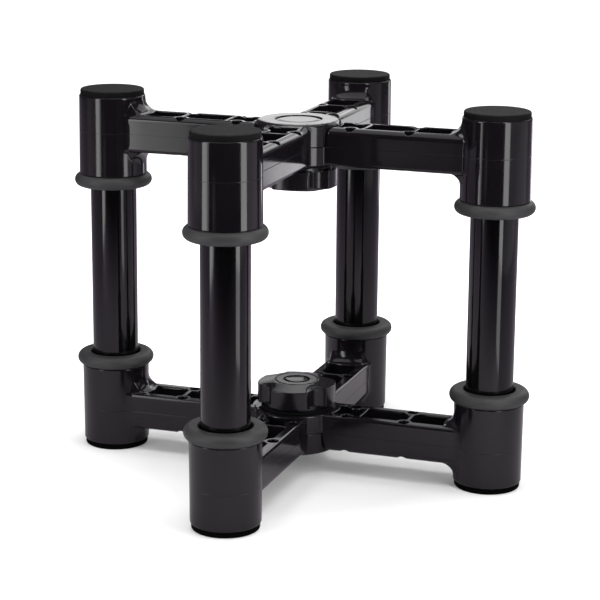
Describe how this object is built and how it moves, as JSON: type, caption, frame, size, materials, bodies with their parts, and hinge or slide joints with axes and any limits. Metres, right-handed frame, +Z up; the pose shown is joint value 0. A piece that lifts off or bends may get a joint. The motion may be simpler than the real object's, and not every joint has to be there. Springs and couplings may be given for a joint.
{
  "type": "monitor isolation stand",
  "caption": "Desktop loudspeaker stand: scissor frames above and below, joined by tube posts held in rubber isolators, with lobed clamp knobs at the pivots.",
  "frame": {"origin": "centre of the footprint on the floor, on the pivot axis", "axes": "+Z up along the pivot axis and the posts; -Y is the front, between the two front posts; +X to the right"},
  "size_m": [0.197, 0.197, 0.204],
  "materials": {
    "moulding": "gloss",
    "tube": "gloss",
    "isolator": "matte",
    "foot": "matte",
    "pad": "matte",
    "cap": "gloss",
    "steel": "zinc plated",
    "washer": "matte",
    "knob": "satin gloss",
    "brass": "machined",
    "button": "satin gloss"
  },
  "bodies": {
    "outer_pair": {"lower_outer_arm": "moulding", "upper_outer_arm": "moulding", "front_left_tube": "tube", "front_left_foot": "foot", "front_left_pad": "pad", "back_right_tube": "tube", "back_right_foot": "foot", "back_right_pad": "pad", "lower_front_left_isolator": "isolator", "lower_back_right_isolator": "isolator", "upper_front_left_isolator": "isolator", "upper_back_right_isolator": "isolator", "lower_hub_cap": "cap", "lower_pivot_bolt": "steel", "upper_hub_cap": "cap", "upper_pivot_bolt": "steel"},
    "inner_pair": {"lower_inner_arm": "moulding", "upper_inner_arm": "moulding", "front_right_tube": "tube", "front_right_foot": "foot", "front_right_pad": "pad", "back_left_tube": "tube", "back_left_foot": "foot", "back_left_pad": "pad", "lower_front_right_isolator": "isolator", "lower_back_left_isolator": "isolator", "upper_front_right_isolator": "isolator", "upper_back_left_isolator": "isolator"},
    "lower_clamp": {"lower_clamp_washer": "washer"},
    "lower_knob_set": {"lower_knob": "knob", "lower_knob_insert": "brass", "lower_knob_button": "button"},
    "upper_clamp": {"upper_clamp_washer": "washer"},
    "upper_knob_set": {"upper_knob": "knob", "upper_knob_insert": "brass", "upper_knob_button": "button"}
  },
  "joints": [
    {"name": "cross_fold", "type": "hinge", "parent": "outer_pair", "child": "inner_pair", "pos_m": [0, 0, 0], "axis": [0, 0, 1], "range_deg": [-20, 20]},
    {"name": "lower_knob_travel", "type": "slide", "parent": "outer_pair", "child": "lower_clamp", "axis": [0, 0, 1], "range_m": [0, 0.0025]},
    {"name": "lower_knob_turn", "type": "hinge", "parent": "lower_clamp", "child": "lower_knob_set", "pos_m": [0, 0, 0], "axis": [0, 0, 1], "range_deg": [0, 720]},
    {"name": "upper_knob_travel", "type": "slide", "parent": "outer_pair", "child": "upper_clamp", "axis": [0, 0, -1], "range_m": [0, 0.0025]},
    {"name": "upper_knob_turn", "type": "hinge", "parent": "upper_clamp", "child": "upper_knob_set", "pos_m": [0, 0, 0], "axis": [0, 0, -1], "range_deg": [0, 720]}
  ],
  "couplings": [
    {"joint": "lower_knob_travel", "follows": "lower_knob_turn", "m_per_rad": 0.00019894},
    {"joint": "upper_knob_travel", "follows": "upper_knob_turn", "m_per_rad": 0.00019894}
  ]
}
